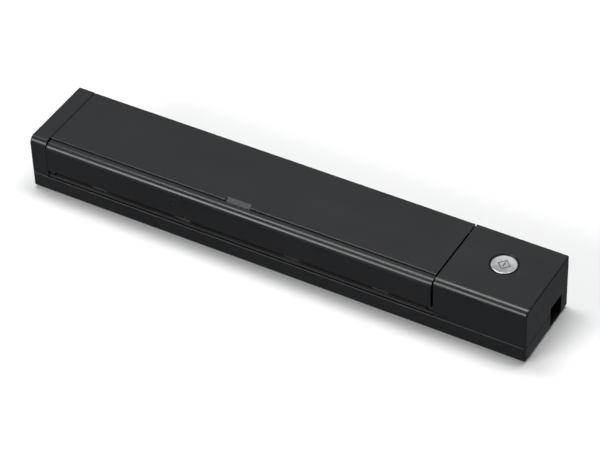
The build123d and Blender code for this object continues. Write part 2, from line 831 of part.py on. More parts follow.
# ---------------------------------------------------------------- front unit
front_span = (front_left, front_right)
front_wall = 1.5
frame_front = front_face + front_wall
nose_skin = 2.6
frame_gap = 0.1
shelf_z = 29.4
nose_turned = radians(nose_turn)
nose_reach = nose_radius * sin(nose_turned) + cheek_radius * (1 - sin(nose_turned))
nose_centre = (front_face + nose_reach, front_top - nose_radius)
cheek_centre = (
    front_face + cheek_radius,
    nose_centre[1] + (nose_radius - cheek_radius) * cos(nose_turned),
)
with BuildPart() as front_cover:
    with BuildSketch(Plane.YZ.offset(front_span[0])):
        with BuildLine():
            Line((front_face, slot_top), (front_face, cheek_centre[1]))
            CenterArc(cheek_centre, cheek_radius, 180, -(90 - nose_turn))
            CenterArc(nose_centre, nose_radius, 90 + nose_turn, -nose_turn)
            Polyline(
                (nose_centre[0], front_top),
                (lip_back, front_top),
                (lip_back, shelf_z),
                (lip_back + 1.8, shelf_z),
                (lip_back + 1.8, shelf_z - front_wall),
                (frame_front, shelf_z - front_wall),
                (frame_front, slot_top),
                (front_face, slot_top),
            )
        make_face()
    extrude(amount=front_span[1] - front_span[0])
    lower_edges = front_cover.edges().filter_by(Axis.X).group_by(Axis.Z)[0]
    fillet(lower_edges.sort_by(Axis.Y)[0], line_radius)
    # hollow the thick nose behind the rounded edge
    block(
        (front_span[0] + 3, front_span[1] - 3),
        (frame_front + 0.6, lip_back - 1.2),
        (shelf_z - front_wall, front_top - nose_skin),
        mode=Mode.SUBTRACT,
    )
save(front_cover.part, "front_cover")

frame_bottom = slot_top + frame_gap
frame_foot_y = path_exit[0] + (frame_bottom - exit_z - path_gap / cos(exit_angle)) / tan(exit_angle)
with BuildPart() as front_frame:
    bar(
        [
            (frame_front, frame_bottom),
            (frame_foot_y, frame_bottom),
            on_path(17.8, path_gap),
            (-9.7, 23.6),
            (-12.4, 26.6),
            (-16.4, shelf_z - front_wall - frame_gap),
            (frame_front, shelf_z - front_wall - frame_gap),
        ],
        front_span,
    )
    # ears down to the hinge pins
    for span in ((front_span[0], front_span[0] + 2.4), (front_span[1] - 2.4, front_span[1])):
        rod(front_axis, front_ear_radius, span)
        bar(
            [
                (front_axis[0] - front_ear_radius * 0.7, front_axis[1]),
                (front_axis[0] + front_ear_radius, front_axis[1]),
                (front_axis[0] + 4.5, 19.0),
                (front_axis[0] - front_ear_radius * 0.7, 19.0),
            ],
            span,
        )
        rod(front_axis, front_pin_radius + running_fit, (span[0] - 1, span[1] + 1), mode=Mode.SUBTRACT)
    # pocket for the upper sensor
    bar(
        [
            on_path(sensor_from, 0.5),
            on_path(sensor_to, 0.5),
            on_path(sensor_to, path_gap + glass_thickness + sensor_thickness),
            on_path(sensor_from, path_gap + glass_thickness + sensor_thickness),
        ],
        (sheet_centre - sensor_half, sheet_centre + sensor_half),
        mode=Mode.SUBTRACT,
    )
    roller_windows(pinch_axis, pinch_radius, row_centres, roller_length)
    rod(
        pinch_axis,
        pinch_axle_radius + running_fit,
        (sheet_centre - pinch_half - 0.3, sheet_centre + pinch_half + 0.3),
        mode=Mode.SUBTRACT,
    )
    # lightening pockets behind the front wall
    for pocket_x in range(-4, 5):
        middle = sheet_centre + 25.5 * pocket_x
        block(
            (middle - 11.5, middle + 11.5),
            (frame_front + 1.2, -19.4),
            (22.0, shelf_z),
            mode=Mode.SUBTRACT,
        )
save(front_frame.part, "front_frame")

with BuildPart() as front_hinge_pins:
    rod(front_axis, front_pin_radius, (cap_right - cap_wall, front_span[0] + 2.4))
    rod(front_axis, front_pin_radius, (front_span[1] - 2.4, cover_left + cap_wall))
save(front_hinge_pins.part, "front_hinge_pins")

# ---------------------------------------------------------------- feed tray, which closes as the lid
tray_span = (tray_left, tray_right)
tray_panel_bottom = 34.75
tray_wall = 1.4
notch_half = 7.75
notch_depth = 3.0
notch_drop = 1.4
tongue_half = 24.0
guide_y = 9.6
slot_half = 2.3
rack_radius = 4.0
tongue_back = 16.5
tongue_recess = 1.0
tongue_bottom = 32.4
tongue_thickness = 0.8
with BuildPart() as tray_panel:
    block(tray_span, (tray_front, half_depth), (tray_panel_bottom, top))
    # front wall, end walls and the thick back edge with its round barrel
    block(tray_span, (tray_front, tray_front + tray_wall), (tray_bottom + 0.3, top))
    block((tray_left, tray_left + tray_wall), (tray_front, half_depth - 4), (tray_bottom + 0.3, top))
    block((tray_right - tray_wall, tray_right), (tray_front, half_depth - 4), (tray_bottom + 0.3, top))
    block(tray_span, (barrel_front, half_depth), (tray_axis[1], top))
    with BuildSketch(Plane.YZ.offset(tray_left)):
        with Locations(tray_axis):
            Circle(tray_barrel_radius)
        with Locations(
            (barrel_front - 10, tray_axis[1]),
            (half_depth + 10, tray_axis[1]),
            (tray_axis[0], tray_axis[1] + 10),
        ):
            Rectangle(20, 20, mode=Mode.SUBTRACT)
        with Locations(tray_axis):
            Circle(tray_knuckle_radius)
    extrude(amount=tray_right - tray_left)
    # small round along the front edge and the back edge
    upper_edges = tray_panel.edges().filter_by(Axis.X).group_by(Axis.Z)[-1]
    fillet(upper_edges, line_radius)
    # finger notch with a sloping floor
    bar(
        [
            (tray_front + notch_depth, top + 0.01),
            (tray_front - 1, top - notch_drop * (notch_depth + 1) / notch_depth),
            (tray_front - 1, top + 1),
            (tray_front + notch_depth, top + 1),
        ],
        (sheet_centre - notch_half, sheet_centre + notch_half),
        mode=Mode.SUBTRACT,
    )
    # slot for the extension in the front wall
    block(
        (sheet_centre - tongue_half - 0.4, sheet_centre + tongue_half + 0.4),
        (tray_front - 1, tray_front + tray_wall + 1),
        (tongue_bottom - 0.2, tongue_bottom + tongue_thickness + 0.2),
        mode=Mode.SUBTRACT,
    )
    # blind holes for the hinge pins
    for span in ((tray_left - 1, tray_left + 6), (tray_right - 6, tray_right + 1)):
        rod(tray_axis, tray_pin_radius + running_fit, span, mode=Mode.SUBTRACT)
    # ribs that keep the racks and the extension in their lanes
    for rib_x in (-126.0, 80.0):
        block(
            (rib_x - 0.6, rib_x + 0.6),
            (tray_front + tray_wall, 1.0),
            (tray_bottom + 1.2, tray_panel_bottom),
        )
save(tray_panel.part, "tray_panel")

liner_top = tray_bottom + liner_thickness
guide_out = 109.0
guide_travel = 82.0
fence_thickness = 2.2
liner_margin = 0.15
with BuildPart() as tray_liner:
    block(
        (tray_left + tray_wall + liner_margin, tray_right - tray_wall - liner_margin),
        (tray_front + tray_wall + liner_margin, tray_axis[0] - tray_knuckle_radius - 0.3),
        (tray_bottom, liner_top),
    )
    for side in (-1, 1):
        reach = (guide_out - guide_travel - 0.8, guide_out + fence_thickness + 0.8)
        span = sorted(sheet_centre + side * distance for distance in reach)
        block(
            span,
            (guide_y - slot_half, guide_y + slot_half),
            (tray_bottom - 1, liner_top + 1),
            mode=Mode.SUBTRACT,
        )
    post(
        (sheet_centre, guide_y),
        axle_radius + 0.02,
        (tray_bottom - 1, liner_top + 1),
        mode=Mode.SUBTRACT,
    )
    # raised runners that the sheet slides on
    for runner in range(-4, 5):
        runner_x = sheet_centre + 24.0 * runner
        block(
            (runner_x - 0.5, runner_x + 0.5),
            (tray_front + 3, 2.0),
            (tray_bottom - 0.35, tray_bottom),
        )
save(tray_liner.part, "tray_liner")

with BuildPart() as tray_hinge_pins:
    rod(tray_axis, tray_pin_radius, (cap_right - cap_wall, tray_left + 5.5))
    rod(tray_axis, tray_pin_radius, (tray_right - 5.5, cover_left + cap_wall))
save(tray_hinge_pins.part, "tray_hinge_pins")

with BuildPart() as tray_extension:
    block(
        (sheet_centre - tongue_half, sheet_centre + tongue_half),
        (tray_front + tongue_recess, tongue_back),
        (tongue_bottom, tongue_bottom + tongue_thickness),
    )
    front_corners = tray_extension.edges().filter_by(Axis.Z).group_by(Axis.Y)[0]
    fillet(front_corners, 4.0)
    # fork that straddles the pinion pin, and a finger window near the front
    block(
        (sheet_centre - 1.6, sheet_centre + 1.6),
        (guide_y - 1.6, tongue_back + 1),
        (tongue_bottom - 1, tongue_bottom + 2),
        mode=Mode.SUBTRACT,
    )
    with BuildSketch(Plane.XY.offset(tongue_bottom)):
        with Locations((sheet_centre, tray_front + 7.5)):
            SlotOverall(22.0, 5.0)
    extrude(amount=tongue_thickness, mode=Mode.SUBTRACT)
save(tray_extension.part, "tray_extension")

# ---------------------------------------------------------------- document guides, racks and pinion
rack_pitch = pi * gear_module
rack_back = 2.4
tooth_half = (rack_pitch / 2 - backlash) / 2
rack_start = -4.5


def rack_teeth(side, first_x, count):
    """Teeth of a rack that faces the pinion, each a trapezoid leaning at the pressure angle."""
    line_y = guide_y + side * rack_radius
    root_y = line_y + side * dedendum
    tip_y = line_y - side * addendum
    lean = tan(pressure_angle)
    for tooth in range(count):
        middle = first_x + rack_pitch * tooth
        wide = tooth_half + dedendum * lean
        thin = tooth_half - addendum * lean
        with BuildLine() as outline:
            Polyline(
                (middle - wide, root_y + side * 0.2),
                (middle - wide, root_y),
                (middle - thin, tip_y),
                (middle + thin, tip_y),
                (middle + wide, root_y),
                (middle + wide, root_y + side * 0.2),
                close=True,
            )
        make_face(outline.edges())


def document_guide(side):
    """One guide: its rack, its foot and the fence that stands below the liner."""
    outer = guide_out + fence_thickness
    near = sheet_centre + side * rack_start
    far = sheet_centre + side * outer
    x_span = sorted((near, far))
    root_y = guide_y + side * (rack_radius + dedendum)
    back_y = root_y + side * rack_back
    rack_z = (rack_bottom, rack_bottom + rack_thickness)
    block(x_span, sorted((root_y, back_y)), rack_z)
    # the tooth nearest the pinion stands half a pitch off its centre
    count = int((outer - 6 + 4) / rack_pitch)
    first = sheet_centre + side * rack_pitch / 2 - (count - 3 if side < 0 else 2) * rack_pitch
    with BuildSketch(Plane.XY.offset(rack_bottom)) as teeth:
        rack_teeth(side, first, count)
    extrude(teeth.sketch, amount=rack_thickness)
    foot = sorted((sheet_centre + side * (outer - 7), far))
    block(foot, sorted((guide_y - side * 2.0, back_y)), rack_z)
    fence = sorted((sheet_centre + side * guide_out, far))
    block(fence, (guide_y - 2.0, guide_y + 2.0), (tray_bottom - 1, rack_bottom))
    bar([(2.6, 30.9), (3.6, 27.6), (16.4, 27.6), (17.8, 30.9)], fence)


with BuildPart() as guide_right:
    document_guide(1)
save(guide_right.part, "guide_right")

with BuildPart() as guide_left:
    document_guide(-1)
save(guide_left.part, "guide_left")

pinion_teeth = 16
with BuildPart() as guide_pinion:
    with BuildSketch(Plane((sheet_centre, guide_y, rack_bottom))):
        with BuildLine():
            Polyline(*gear_outline(pinion_teeth, pi / 2), close=True)
        make_face()
    extrude(amount=rack_thickness)
    post(
        (sheet_centre, guide_y),
        axle_radius + running_fit,
        (rack_bottom, rack_bottom + 3),
        mode=Mode.SUBTRACT,
    )
save(guide_pinion.part, "guide_pinion")

with BuildPart() as pinion_pin:
    post((sheet_centre, guide_y), axle_radius, (tray_bottom, tray_panel_bottom))
save(pinion_pin.part, "pinion_pin")

# ---------------------------------------------------------------- start button and its switch
board_z = 27.2
board_thickness = 1.2
symbol_half = 4.0
symbol_line = 0.7
engraving = 0.25
dish_radius = 60.0
dish_depth = 0.35
with BuildPart() as start_button:
    post(button_centre, button_radius, (33.2, top - 0.1))
    fillet(start_button.edges().filter_by(GeomType.CIRCLE).group_by(Axis.Z)[-1], 0.5)
    post(button_centre, button_radius + 1.3, (32.4, top - top_wall - 0.25))
    post(button_centre, 2.0, (30.8, 33.0))
    # shallow dish in the top
    with Locations((*button_centre, top - 0.1 - dish_depth + dish_radius)):
        Sphere(dish_radius, mode=Mode.SUBTRACT)
    # engraved start symbol: a diamond with a bar in it
    with BuildSketch(Plane.XY.offset(top - 0.1 - dish_depth - engraving)):
        with Locations(button_centre):
            RegularPolygon(symbol_half, 4)
            RegularPolygon(symbol_half - symbol_line * sqrt(2), 4, mode=Mode.SUBTRACT)
            Rectangle(0.8, 3.2)
    extrude(amount=2, mode=Mode.SUBTRACT)
save(start_button.part, "start_button")

with BuildPart() as button_board:
    block(
        (button_centre[0] - 10, button_centre[0] + 10),
        (button_centre[1] - 13, button_centre[1] + 7),
        (board_z, board_z + board_thickness),
    )
save(button_board.part, "button_board")

with BuildPart() as tact_switch:
    with Locations((*button_centre, board_z + board_thickness + 0.5)):
        Box(6.2, 6.2, 1.0)
    post(button_centre, 1.6, (board_z + board_thickness + 1.0, board_z + board_thickness + 1.45))
save(tact_switch.part, "tact_switch")

with BuildPart() as slide_switch:
    block((139.6, 148.2), (19.6, half_depth - wall - 0.9), (26.6, 31.4))
save(slide_switch.part, "slide_switch")

with BuildPart() as auto_start_slider:
    knob = (switch_slot[0] + 0.3, switch_slot[0] + 4.6)
    block(knob, (half_depth - wall - 0.7, half_depth - 0.9), (switch_low + 0.3, switch_high - 0.3))
    for ridge in range(4):
        ridge_x = knob[0] + 0.5 + 0.95 * ridge
        block(
            (ridge_x, ridge_x + 0.45),
            (half_depth - 0.9, half_depth - 0.2),
            (switch_low + 0.3, switch_high - 0.3),
        )
save(auto_start_slider.part, "auto_start_slider")

# ---------------------------------------------------------------- main board and what is on it
main_board_z = 4.9
main_board_x = (115.0, half_width - port_depth - port_wall - 0.2)
main_board_y = (-17.0, 18.0)
chip_bottom = main_board_z + board_thickness
with BuildPart() as main_board:
    block(main_board_x, main_board_y, (main_board_z, chip_bottom))
save(main_board.part, "main_board")

with BuildPart() as board_posts:
    for place in ((118.0, -14.0), (118.0, 15.0), (146.0, -14.0)):
        post(place, 2.0, (floor_top, main_board_z))
save(board_posts.part, "board_posts")

with BuildPart() as board_chips:
    block((128.0, 140.0), (-12.0, 0.0), (chip_bottom, chip_bottom + 1.2))
    block((121.0, 126.0), (-12.0, -4.0), (chip_bottom, chip_bottom + 1.0))
    block((142.0, 146.0), (-8.0, -3.0), (chip_bottom, chip_bottom + 1.6))
    for place in ((124.0, 1.5), (133.0, 3.0), (142.0, 1.5)):
        post(place, 1.3, (chip_bottom, chip_bottom + 2.2))
save(board_chips.part, "board_chips")

port_middle = (port_front + port_back) / 2
with BuildPart() as data_socket:
    shell_x = (half_width - port_depth - port_wall - 5.4, half_width - port_depth - 0.4)
    block(shell_x, (port_middle - 3.9, port_middle + 3.9), (chip_bottom + 0.4, chip_bottom + 3.3))
    fillet(data_socket.edges().filter_by(Axis.X).group_by(Axis.Z)[0], 0.9)
    block(
        (shell_x[1] - 4.2, shell_x[1] + 1),
        (port_middle - 3.4, port_middle + 3.4),
        (chip_bottom + 0.8, chip_bottom + 2.9),
        mode=Mode.SUBTRACT,
    )
    block(
        (shell_x[0], shell_x[0] + 3),
        (port_middle - 3.0, port_middle + 3.0),
        (chip_bottom, chip_bottom + 0.4),
    )
    # contact tongue
    block(
        (shell_x[1] - 4.3, shell_x[1] - 0.8),
        (port_middle - 2.4, port_middle + 2.4),
        (chip_bottom + 1.9, chip_bottom + 2.4),
    )
save(data_socket.part, "data_socket")

with BuildPart() as sensor_ribbon:
    block((ribbon_start, ribbon_end), ribbon_y, (ribbon_z, ribbon_z + ribbon))
    block((ribbon_end - ribbon, ribbon_end), ribbon_y, (chip_bottom, ribbon_z + ribbon))
save(sensor_ribbon.part, "sensor_ribbon")
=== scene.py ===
"""Looks for a sheet fed document scanner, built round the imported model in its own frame, in metres."""

import math

import bmesh
import bpy
from mathutils import Matrix, Vector


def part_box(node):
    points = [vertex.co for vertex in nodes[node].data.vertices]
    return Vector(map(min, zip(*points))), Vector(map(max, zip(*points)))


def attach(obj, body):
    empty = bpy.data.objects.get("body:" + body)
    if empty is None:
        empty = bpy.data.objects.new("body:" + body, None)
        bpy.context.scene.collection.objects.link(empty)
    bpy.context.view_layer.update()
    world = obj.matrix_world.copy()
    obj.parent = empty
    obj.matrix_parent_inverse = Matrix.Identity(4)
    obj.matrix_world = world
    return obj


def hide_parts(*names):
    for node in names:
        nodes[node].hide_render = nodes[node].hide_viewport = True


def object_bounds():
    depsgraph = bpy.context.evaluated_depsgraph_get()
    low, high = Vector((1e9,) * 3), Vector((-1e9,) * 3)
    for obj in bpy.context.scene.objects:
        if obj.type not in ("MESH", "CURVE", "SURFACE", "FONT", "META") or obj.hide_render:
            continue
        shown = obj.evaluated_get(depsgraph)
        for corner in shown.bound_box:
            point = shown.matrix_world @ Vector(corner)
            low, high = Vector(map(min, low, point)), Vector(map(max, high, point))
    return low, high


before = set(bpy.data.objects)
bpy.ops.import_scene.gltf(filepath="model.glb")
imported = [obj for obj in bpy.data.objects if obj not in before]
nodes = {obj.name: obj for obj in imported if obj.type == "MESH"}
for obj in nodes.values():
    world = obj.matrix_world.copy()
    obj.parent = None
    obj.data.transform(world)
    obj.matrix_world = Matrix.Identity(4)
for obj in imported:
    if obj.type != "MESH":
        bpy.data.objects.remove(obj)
cad_low, cad_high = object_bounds()
centre = (cad_low + cad_high) / 2
MM = 0.001
scene = bpy.context.scene
scene.view_settings.view_transform = "Standard"
scene.view_settings.look = "None"


# ---------------------------------------------------------------- camera
CAMERA_AZIMUTH = math.radians(31.16)
CAMERA_ELEVATION = math.radians(41.22)
CAMERA_ROLL = math.radians(-2.19)
CAMERA_DISTANCE = 1.472
CAMERA_LENS = 159.96
AIM_OFFSET = Vector((6.2, -1.55, 0.3)) * MM


def make_camera():
    """The camera stands to the front right and above, at portrait length."""
    data = bpy.data.cameras.new("camera")
    data.lens = CAMERA_LENS
    data.sensor_width = 36
    data.clip_start = 0.05
    camera = bpy.data.objects.new("camera", data)
    scene.collection.objects.link(camera)
    back = Vector(
        (
            math.sin(CAMERA_AZIMUTH) * math.cos(CAMERA_ELEVATION),
            -math.cos(CAMERA_AZIMUTH) * math.cos(CAMERA_ELEVATION),
            math.sin(CAMERA_ELEVATION),
        )
    )
    turn = (-back).to_track_quat("-Z", "Y").to_matrix().to_4x4()
    place = Matrix.Translation(centre + AIM_OFFSET + back * CAMERA_DISTANCE)
    camera.matrix_world = place @ turn @ Matrix.Rotation(CAMERA_ROLL, 4, "Z")
    scene.camera = camera


make_camera()


# ---------------------------------------------------------------- node helpers
def new_material(name):
    """A node material with an empty shader on its output, and the place of each point in the frame."""
    material = bpy.data.materials.new(name)
    material.use_nodes = True
    tree = material.node_tree
    tree.nodes.clear()
    output = tree.nodes.new("ShaderNodeOutputMaterial")
    shader = tree.nodes.new("ShaderNodeBsdfPrincipled")
    tree.links.new(shader.outputs["BSDF"], output.inputs["Surface"])
    place = tree.nodes.new("ShaderNodeTexCoord")
    return material, tree, shader, place.outputs["Object"]


def noise(tree, where, size, detail=3.0, stretch=None):
    """Noise whose grains are about this many metres across."""
    if stretch is not None:
        mapping = tree.nodes.new("ShaderNodeMapping")
        mapping.inputs["Scale"].default_value = stretch
        tree.links.new(where, mapping.inputs["Vector"])
        where = mapping.outputs["Vector"]
    texture = tree.nodes.new("ShaderNodeTexNoise")
    texture.inputs["Scale"].default_value = 1 / size
    texture.inputs["Detail"].default_value = detail
    tree.links.new(where, texture.inputs["Vector"])
    return texture.outputs["Fac"]


def spread(tree, value, low, high, start=0.3, end=0.7):
    """Map a value from start..end to low..high, held at both ends."""
    node = tree.nodes.new("ShaderNodeMapRange")
    node.inputs["From Min"].default_value = start
    node.inputs["From Max"].default_value = end
    node.inputs["To Min"].default_value = low
    node.inputs["To Max"].default_value = high
    tree.links.new(value, node.inputs["Value"])
    return node.outputs["Result"]


def blend_colours(tree, share, first, second):
    """A colour between two, by a share that varies over the surface."""
    node = tree.nodes.new("ShaderNodeMix")
    node.data_type = "RGBA"
    node.inputs["A"].default_value = (*first, 1)
    node.inputs["B"].default_value = (*second, 1)
    tree.links.new(share, node.inputs["Factor"])
    return node.outputs["Result"]


def calculate(tree, operation, first, second):
    """One sum on two values, either of which may be a plain number."""
    node = tree.nodes.new("ShaderNodeMath")
    node.operation = operation
    for slot, value in enumerate((first, second)):
        if isinstance(value, (int, float)):
            node.inputs[slot].default_value = value
        else:
            tree.links.new(value, node.inputs[slot])
    return node.outputs["Value"]


def bump(tree, height, depth, below=None):
    """Relief this many metres deep, on top of another relief if one is given."""
    node = tree.nodes.new("ShaderNodeBump")
    node.inputs["Distance"].default_value = depth
    tree.links.new(height, node.inputs["Height"])
    if below is not None:
        tree.links.new(below, node.inputs["Normal"])
    return node.outputs["Normal"]


def moulded_plastic(name, dark, light, roughness, specular, grain, depth):
    """Moulded plastic with an eroded grain, faint cloudiness and a slightly polished feel."""
    material, tree, shader, where = new_material(name)
    cloud = noise(tree, where, 60 * MM, 4)
    fine = noise(tree, where, grain, 2)
    smear = noise(tree, where, 14 * MM, 3, (0.5, 1.4, 1.0))
    colour = blend_colours(tree, spread(tree, cloud, 0, 1), dark, light)
    tree.links.new(colour, shader.inputs["Base Color"])
    shine = calculate(tree, "ADD", spread(tree, smear, -0.035, 0.035), spread(tree, cloud, -0.02, 0.02))
    shine = calculate(tree, "ADD", shine, roughness)
    tree.links.new(shine, shader.inputs["Roughness"])
    shader.inputs["Specular IOR Level"].default_value = specular
    tree.links.new(bump(tree, fine, depth), shader.inputs["Normal"])
    return material


def metal(name, dark, light, roughness, stretch, depth):
    """Plain or ground metal with fine lines along the long way, dull patches and faint marks."""
    material, tree, shader, where = new_material(name)
    lines = noise(tree, where, 0.5 * MM, 3, stretch)
    cloud = noise(tree, where, 9 * MM, 4)
    colour = blend_colours(tree, spread(tree, cloud, 0, 1), dark, light)
    tree.links.new(colour, shader.inputs["Base Color"])
    shader.inputs["Metallic"].default_value = 1.0
    shine = calculate(tree, "ADD", spread(tree, lines, -0.06, 0.06), spread(tree, cloud, -0.05, 0.08))
    shine = calculate(tree, "ADD", shine, roughness)
    tree.links.new(shine, shader.inputs["Roughness"])
    tree.links.new(bump(tree, lines, depth), shader.inputs["Normal"])
    return material


def rubber(name, dark, light, grain):
    """Soft rubber with a pitted skin and a little pale dust in the pits."""
    material, tree, shader, where = new_material(name)
    pits = noise(tree, where, grain, 4)
    dust = noise(tree, where, 5 * MM, 4)
    share = calculate(tree, "MULTIPLY", spread(tree, pits, 0.4, 1), spread(tree, dust, 0, 1))
    tree.links.new(blend_colours(tree, share, dark, light), shader.inputs["Base Color"])
    tree.links.new(spread(tree, dust, 0.62, 0.85), shader.inputs["Roughness"])
    shader.inputs["Specular IOR Level"].default_value = 0.35
    tree.links.new(bump(tree, pits, 0.06 * MM), shader.inputs["Normal"])
    return material


# painted shade: the silver gives way to a near-black colour on the floor of the engraved sign, between these
# depths under the button's rim
SIGN_SHADE_DEPTH = (0.65 * MM, 0.53 * MM)


def silver_paint(name):
    """Silver paint on plastic with fine flakes and faint cloudiness, with painted shade: the engraved sign's
    floor is coloured near-black by depth.
    """
    material, tree, shader, where = new_material(name)
    flakes = noise(tree, where, 0.12 * MM, 1)
    cloud = noise(tree, where, 3 * MM, 3)
    share = calculate(tree, "MULTIPLY", spread(tree, flakes, 0.5, 1), spread(tree, cloud, 0.6, 1))
    colour = blend_colours(tree, share, (0.30, 0.31, 0.33), (0.56, 0.57, 0.59))
    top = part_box("start_button")[1].z
    axes = tree.nodes.new("ShaderNodeSeparateXYZ")
    tree.links.new(where, axes.inputs["Vector"])
    # painted shade: below these depths the engraved sign's floor takes a near-black colour in place of the
    # silver
    outside_recess_shade = spread(tree, axes.outputs["Z"], 0, 1, top - SIGN_SHADE_DEPTH[0], top - SIGN_SHADE_DEPTH[1])
    recess_shade_mix = tree.nodes.new("ShaderNodeMix")
    recess_shade_mix.data_type = "RGBA"
    recess_shade_mix.inputs["A"].default_value = (0.03, 0.03, 0.032, 1)
    tree.links.new(colour, recess_shade_mix.inputs["B"])
    tree.links.new(outside_recess_shade, recess_shade_mix.inputs["Factor"])
    tree.links.new(recess_shade_mix.outputs["Result"], shader.inputs["Base Color"])
    shader.inputs["Metallic"].default_value = 0.75
    tree.links.new(spread(tree, cloud, 0.34, 0.46), shader.inputs["Roughness"])
    tree.links.new(bump(tree, flakes, 0.004 * MM), shader.inputs["Normal"])
    return material


def circuit_board(name):
    """Solder mask over copper: paler tracks in a maze of cells, with pinholes in the mask."""
    material, tree, shader, where = new_material(name)
    cells = tree.nodes.new("ShaderNodeTexVoronoi")
    cells.distance = "CHEBYCHEV"
    cells.feature = "F2"
    cells.inputs["Scale"].default_value = 1 / (2.2 * MM)
    tree.links.new(where, cells.inputs["Vector"])
    tracks = spread(tree, cells.outputs["Distance"], 1, 0, 0.62, 0.70)
    grain = noise(tree, where, 0.4 * MM, 3)
    share = calculate(tree, "MULTIPLY", tracks, spread(tree, grain, 0.6, 1))
    colour = blend_colours(tree, share, (0.004, 0.05, 0.02), (0.02, 0.14, 0.05))
    tree.links.new(colour, shader.inputs["Base Color"])
    tree.links.new(spread(tree, grain, 0.22, 0.38), shader.inputs["Roughness"])
    tree.links.new(bump(tree, tracks, 0.03 * MM, bump(tree, grain, 0.006 * MM)), shader.inputs["Normal"])
    return material


def film_cable(name):
    """White film over flat conductors that show through as fine grey lines."""
    material, tree, shader, where = new_material(name)
    wave = tree.nodes.new("ShaderNodeTexWave")
    wave.bands_direction = "Y"
    wave.inputs["Scale"].default_value = 260.0
    tree.links.new(where, wave.inputs["Vector"])
    grain = noise(tree, where, 0.8 * MM, 3)
    share = calculate(tree, "MULTIPLY", wave.outputs["Fac"], spread(tree, grain, 0.7, 1))
    colour = blend_colours(tree, share, (0.42, 0.42, 0.41), (0.74, 0.73, 0.70))
    tree.links.new(colour, shader.inputs["Base Color"])
    tree.links.new(spread(tree, grain, 0.3, 0.45), shader.inputs["Roughness"])
    tree.links.new(bump(tree, wave.outputs["Fac"], 0.03 * MM), shader.inputs["Normal"])
    return material


def clear_glass(name):
    """Cover glass with a faint green cast, smears from paper and tiny scratches along the path."""
    material, tree, shader, where = new_material(name)
    smear = noise(tree, where, 6 * MM, 4, (0.3, 1.0, 1.0))
    scratch = noise(tree, where, 0.3 * MM, 2, (1.0, 0.05, 0.05))
    colour = blend_colours(tree, spread(tree, smear, 0, 1), (0.80, 0.88, 0.86), (0.88, 0.93, 0.92))
    tree.links.new(colour, shader.inputs["Base Color"])
    shader.inputs["Transmission Weight"].default_value = 0.9
    shader.inputs["IOR"].default_value = 1.5
    tree.links.new(spread(tree, smear, 0.02, 0.12), shader.inputs["Roughness"])
    tree.links.new(bump(tree, scratch, 0.002 * MM), shader.inputs["Normal"])
    return material


LONG_GRAIN = (0.03, 1.0, 1.0)
FLAT_GRAIN = (1.0, 0.05, 1.0)

MATERIALS = {
    "case_black": moulded_plastic(
        "case_black", (0.0070, 0.0075, 0.0090), (0.0090, 0.0095, 0.0110), 0.31, 0.45, 0.35 * MM, 0.02 * MM
    ),
    "case_inner": moulded_plastic(
        "case_inner", (0.010, 0.010, 0.011), (0.015, 0.015, 0.016), 0.55, 0.3, 0.3 * MM, 0.02 * MM
    ),
    # painted light: the guide plastic is given a lighter colour than the case to stand in for light on the
    # ramp in the shaded slot under the front cover
    "guide_black": moulded_plastic(
        "guide_black", (0.024, 0.024, 0.024), (0.032, 0.032, 0.032), 0.42, 0.35, 0.3 * MM, 0.015 * MM
    ),
    "sensor_body": moulded_plastic(
        "sensor_body", (0.008, 0.008, 0.009), (0.014, 0.014, 0.015), 0.5, 0.3, 0.25 * MM, 0.02 * MM
    ),
    "chip_black": moulded_plastic(
        "chip_black", (0.010, 0.010, 0.011), (0.020, 0.020, 0.021), 0.45, 0.4, 0.2 * MM, 0.01 * MM
    ),
    "acetal_white": moulded_plastic(
        "acetal_white", (0.62, 0.61, 0.56), (0.72, 0.71, 0.67), 0.38, 0.5, 0.5 * MM, 0.01 * MM
    ),
    "button_silver": silver_paint("button_silver"),
    "steel_plate": metal("steel_plate", (0.44, 0.45, 0.47), (0.58, 0.58, 0.59), 0.34, FLAT_GRAIN, 0.008 * MM),
    "motor_steel": metal("motor_steel", (0.40, 0.40, 0.42), (0.52, 0.52, 0.53), 0.36, LONG_GRAIN, 0.006 * MM),
    "shaft_steel": metal("shaft_steel", (0.50, 0.50, 0.51), (0.62, 0.62, 0.62), 0.22, LONG_GRAIN, 0.004 * MM),
    "screw_steel": metal("screw_steel", (0.20, 0.20, 0.21), (0.32, 0.32, 0.33), 0.32, FLAT_GRAIN, 0.006 * MM),
    "socket_steel": metal(
        "socket_steel", (0.55, 0.55, 0.55), (0.68, 0.68, 0.67), 0.28, FLAT_GRAIN, 0.005 * MM
    ),
    "roller_rubber": rubber("roller_rubber", (0.10, 0.10, 0.105), (0.20, 0.20, 0.20), 0.25 * MM),
    "foot_rubber": rubber("foot_rubber", (0.018, 0.018, 0.019), (0.05, 0.05, 0.05), 0.3 * MM),
    "board_green": circuit_board("board_green"),
    "ribbon_white": film_cable("ribbon_white"),
    "sensor_glass": clear_glass("sensor_glass"),
}


def finish_nodes():
    """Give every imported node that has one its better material."""
    for name, node in nodes.items():
        for slot in node.material_slots:
            if slot.material and slot.material.name in MATERIALS:
                slot.material = MATERIALS[slot.material.name]


finish_nodes()


# ---------------------------------------------------------------- added pieces
def loose_boxes(node):
    """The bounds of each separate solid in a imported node."""
    mesh = bmesh.new()
    mesh.from_mesh(node.data)
    bmesh.ops.remove_doubles(mesh, verts=mesh.verts, dist=0.001 * MM)
    left = set(mesh.verts)
    boxes = []
    while left:
        group = [left.pop()]
        for vert in group:
            for edge in vert.link_edges:
                other = edge.other_vert(vert)
                if other in left:
                    left.remove(other)
                    group.append(other)
        places = [node.matrix_world @ vert.co for vert in group]
        low = Vector([min(place[k] for place in places) for k in range(3)])
        high = Vector([max(place[k] for place in places) for k in range(3)])
        boxes.append((low, high))
    mesh.free()
    return sorted(boxes, key=lambda box: tuple(box[0]))


